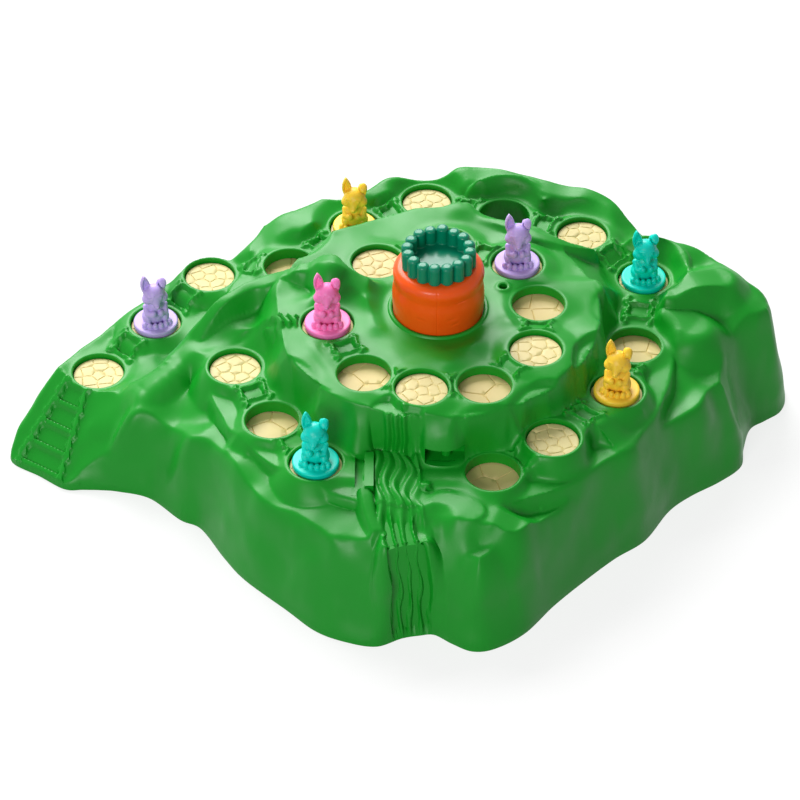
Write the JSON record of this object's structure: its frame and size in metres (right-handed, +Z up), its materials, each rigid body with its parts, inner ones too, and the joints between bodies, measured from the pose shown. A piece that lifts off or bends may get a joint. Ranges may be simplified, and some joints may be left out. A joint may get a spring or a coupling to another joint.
{
  "type": "rabbit race board game",
  "caption": "Moulded hill with a spiral path of round spaces, a carrot knob that turns a trap disc under the path, and loose rabbit pawns.",
  "frame": {"origin": "under the middle of the bounding box, on the table", "axes": "+Z up, +Y away from the player who faces the waterfall, +X to that player's right"},
  "size_m": [0.3272, 0.2448, 0.1028],
  "materials": {
    "hill_green": "moulded green plastic, satin gloss",
    "tile_cream": "cream plastic inlay, satin",
    "disc_beige": "beige plastic, satin",
    "carrot_orange": "orange plastic, gloss",
    "leaf_green": "blue-green plastic, satin",
    "mechanism_white": "natural white plastic",
    "steel": "plain steel",
    "pawn_yellow": "yellow plastic, satin",
    "pawn_purple": "lilac plastic, satin",
    "pawn_teal": "turquoise plastic, satin",
    "pawn_pink": "pink plastic, satin"
  },
  "bodies": {
    "hill": {"hill_shell": "hill_green", "path_tile_01": "tile_cream", "path_tile_02": "tile_cream", "path_tile_03": "tile_cream", "path_tile_05": "tile_cream", "path_tile_06": "tile_cream", "path_tile_08": "tile_cream", "path_tile_09": "tile_cream", "path_tile_11": "tile_cream", "path_tile_12": "tile_cream", "path_tile_14": "tile_cream", "path_tile_16": "tile_cream", "path_tile_17": "tile_cream", "path_tile_19": "tile_cream", "path_tile_21": "tile_cream", "path_tile_23": "tile_cream", "path_tile_24": "tile_cream", "path_tile_25": "tile_cream", "click_spring": "steel", "click_spring_screw": "steel"},
    "carrot_rotor": {"carrot_body": "carrot_orange", "carrot_leaves": "leaf_green", "drive_shaft": "mechanism_white", "click_wheel": "mechanism_white", "disc_ring": "disc_beige", "disc_riser": "disc_beige", "disc_deck": "disc_beige", "disc_well": "disc_beige", "retaining_washer": "steel", "retaining_screw": "steel"},
    "pawn_purple_a": {"rabbit_purple_a": "pawn_purple"},
    "pawn_yellow_a": {"rabbit_yellow_a": "pawn_yellow"},
    "pawn_teal_a": {"rabbit_teal_a": "pawn_teal"},
    "pawn_yellow_b": {"rabbit_yellow_b": "pawn_yellow"},
    "pawn_teal_b": {"rabbit_teal_b": "pawn_teal"},
    "pawn_pink": {"rabbit_pink": "pawn_pink"},
    "pawn_purple_b": {"rabbit_purple_b": "pawn_purple"}
  },
  "joints": [
    {"name": "carrot_turn", "type": "hinge", "parent": "hill", "child": "carrot_rotor", "pos_m": [0.01478, 0.00437, 0.08], "axis": [0, 0, 1], "continuous": true, "deforming": ["click_spring"]},
    {"name": "lift_purple_a", "type": "slide", "parent": "hill", "child": "pawn_purple_a", "axis": [0, 0, 1], "range_m": [0, 0.04]},
    {"name": "lift_yellow_a", "type": "slide", "parent": "hill", "child": "pawn_yellow_a", "axis": [0, 0, 1], "range_m": [0, 0.04]},
    {"name": "lift_teal_a", "type": "slide", "parent": "hill", "child": "pawn_teal_a", "axis": [0, 0, 1], "range_m": [0, 0.04]},
    {"name": "lift_yellow_b", "type": "slide", "parent": "hill", "child": "pawn_yellow_b", "axis": [0, 0, 1], "range_m": [0, 0.04]},
    {"name": "lift_teal_b", "type": "slide", "parent": "hill", "child": "pawn_teal_b", "axis": [0, 0, 1], "range_m": [0, 0.04]},
    {"name": "lift_pink", "type": "slide", "parent": "hill", "child": "pawn_pink", "axis": [0, 0, 1], "range_m": [0, 0.04]},
    {"name": "lift_purple_b", "type": "slide", "parent": "hill", "child": "pawn_purple_b", "axis": [0, 0, 1], "range_m": [0, 0.04]}
  ]
}
